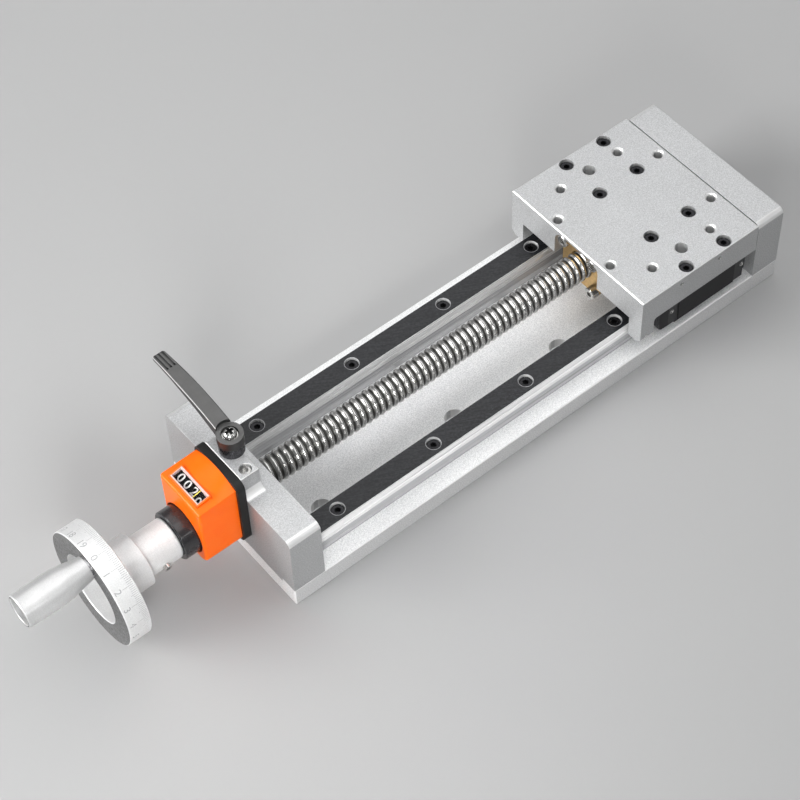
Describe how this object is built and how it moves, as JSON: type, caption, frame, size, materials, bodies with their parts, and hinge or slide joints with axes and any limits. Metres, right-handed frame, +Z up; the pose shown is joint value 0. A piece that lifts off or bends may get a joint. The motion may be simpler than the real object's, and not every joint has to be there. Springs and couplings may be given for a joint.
{
  "type": "manual linear slide table",
  "caption": "Single-axis manual slide: a handwheel and lead screw move a table along two profile rails, with a position counter and a clamp lever.",
  "frame": {"origin": "centre of the base plate's underside, on the surface that the slide stands on", "axes": "+X along the travel, from the handwheel to the table's rest end; +Y to the left seen from the handwheel; +Z up"},
  "size_m": [0.4375, 0.1105, 0.0838],
  "materials": {
    "anodised": "bead-blasted, clear anodised",
    "rail_steel": "ground sides and races, black top",
    "carriage_steel": "black oxide with ground faces",
    "cap_plastic": "moulded, glossy black",
    "seal_rubber": "moulded black rubber",
    "black_screws": "black oxide",
    "zinc_screws": "bright zinc plate",
    "screw_steel": "rolled and polished",
    "bearing_steel": "ground steel",
    "bronze": "turned bronze",
    "black_plate": "moulded, fine grain",
    "black_collar": "moulded, half gloss",
    "orange_plastic": "moulded, glossy orange",
    "pale_plastic": "moulded, pale",
    "clear_plastic": "clear moulded window",
    "drum_plastic": "moulded black with white figures",
    "turned_aluminium": "fine turned",
    "lever_coating": "black powder coat",
    "lever_steel": "black oxide"
  },
  "bodies": {
    "base": {"base_plate": "anodised", "left_rail": "rail_steel", "right_rail": "rail_steel", "rail_screws": "black_screws", "front_block": "anodised", "rear_block": "anodised", "block_screws": "zinc_screws", "boss_screw": "zinc_screws", "front_bearing_outer": "bearing_steel", "rear_bearing_outer": "bearing_steel", "circlips": "bearing_steel", "clamp_pad": "bronze", "counter_plate": "black_plate", "plate_screws": "zinc_screws", "counter_housing": "orange_plastic", "window_frame": "pale_plastic", "window_pane": "clear_plastic", "drum_pin": "bearing_steel"},
    "table": {"table": "anodised", "left_carriage": "carriage_steel", "right_carriage": "carriage_steel", "left_front_cap": "cap_plastic", "left_rear_cap": "cap_plastic", "right_front_cap": "cap_plastic", "right_rear_cap": "cap_plastic", "carriage_seals": "seal_rubber", "cap_screws": "zinc_screws", "table_screws": "black_screws", "lead_nut": "bronze", "nut_screws": "zinc_screws", "leg_screw": "zinc_screws"},
    "screw": {"lead_screw": "screw_steel", "front_bearing_inner": "bearing_steel", "rear_bearing_inner": "bearing_steel", "clamp_ring": "bearing_steel", "lock_nut": "bearing_steel", "counter_shaft": "black_collar", "hub_sleeve": "turned_aluminium", "handwheel": "turned_aluminium", "grub_screws": "zinc_screws", "handle_spindle": "bearing_steel"},
    "grip": {"handle_grip": "turned_aluminium"},
    "lever": {"lever_collar": "lever_steel", "lever_arm": "lever_coating", "lever_screw": "zinc_screws"},
    "hundreds": {"hundreds_drum": "drum_plastic"},
    "tens": {"tens_drum": "drum_plastic"},
    "units": {"units_drum": "drum_plastic"},
    "tenths": {"tenths_drum": "drum_plastic"}
  },
  "joints": [
    {"name": "screw_turn", "type": "hinge", "parent": "base", "child": "screw", "pos_m": [0, 0, 0.035], "axis": [1, 0, 0], "range_deg": [0, 18000]},
    {"name": "table_slide", "type": "slide", "parent": "base", "child": "table", "axis": [-1, 0, 0], "range_m": [0, 0.2]},
    {"name": "grip_spin", "type": "hinge", "parent": "screw", "child": "grip", "pos_m": [-0.259, -0.00338, 0.05876], "axis": [1, 0, 0], "continuous": true},
    {"name": "lever_turn", "type": "hinge", "parent": "base", "child": "lever", "pos_m": [-0.1523, 0.003, 0.066], "axis": [0, 0, 1], "range_deg": [-90, 0]},
    {"name": "tenths_roll", "type": "hinge", "parent": "base", "child": "tenths", "pos_m": [-0.1767, 0, 0.05415], "axis": [0, 1, 0], "range_deg": [0, 72000]},
    {"name": "units_roll", "type": "hinge", "parent": "base", "child": "units", "pos_m": [-0.1767, 0, 0.05415], "axis": [0, 1, 0], "range_deg": [0, 7200]},
    {"name": "tens_roll", "type": "hinge", "parent": "base", "child": "tens", "pos_m": [-0.1767, 0, 0.05415], "axis": [0, 1, 0], "range_deg": [0, 720]},
    {"name": "hundreds_roll", "type": "hinge", "parent": "base", "child": "hundreds", "pos_m": [-0.1767, 0, 0.05415], "axis": [0, 1, 0], "range_deg": [0, 72]}
  ],
  "couplings": [
    {"joint": "screw_turn", "follows": "table_slide", "rad_per_m": 1570.8},
    {"joint": "tenths_roll", "follows": "table_slide", "rad_per_m": 6283.2},
    {"joint": "units_roll", "follows": "table_slide", "rad_per_m": 628.32},
    {"joint": "tens_roll", "follows": "table_slide", "rad_per_m": 62.832},
    {"joint": "hundreds_roll", "follows": "table_slide", "rad_per_m": 6.2832}
  ]
}
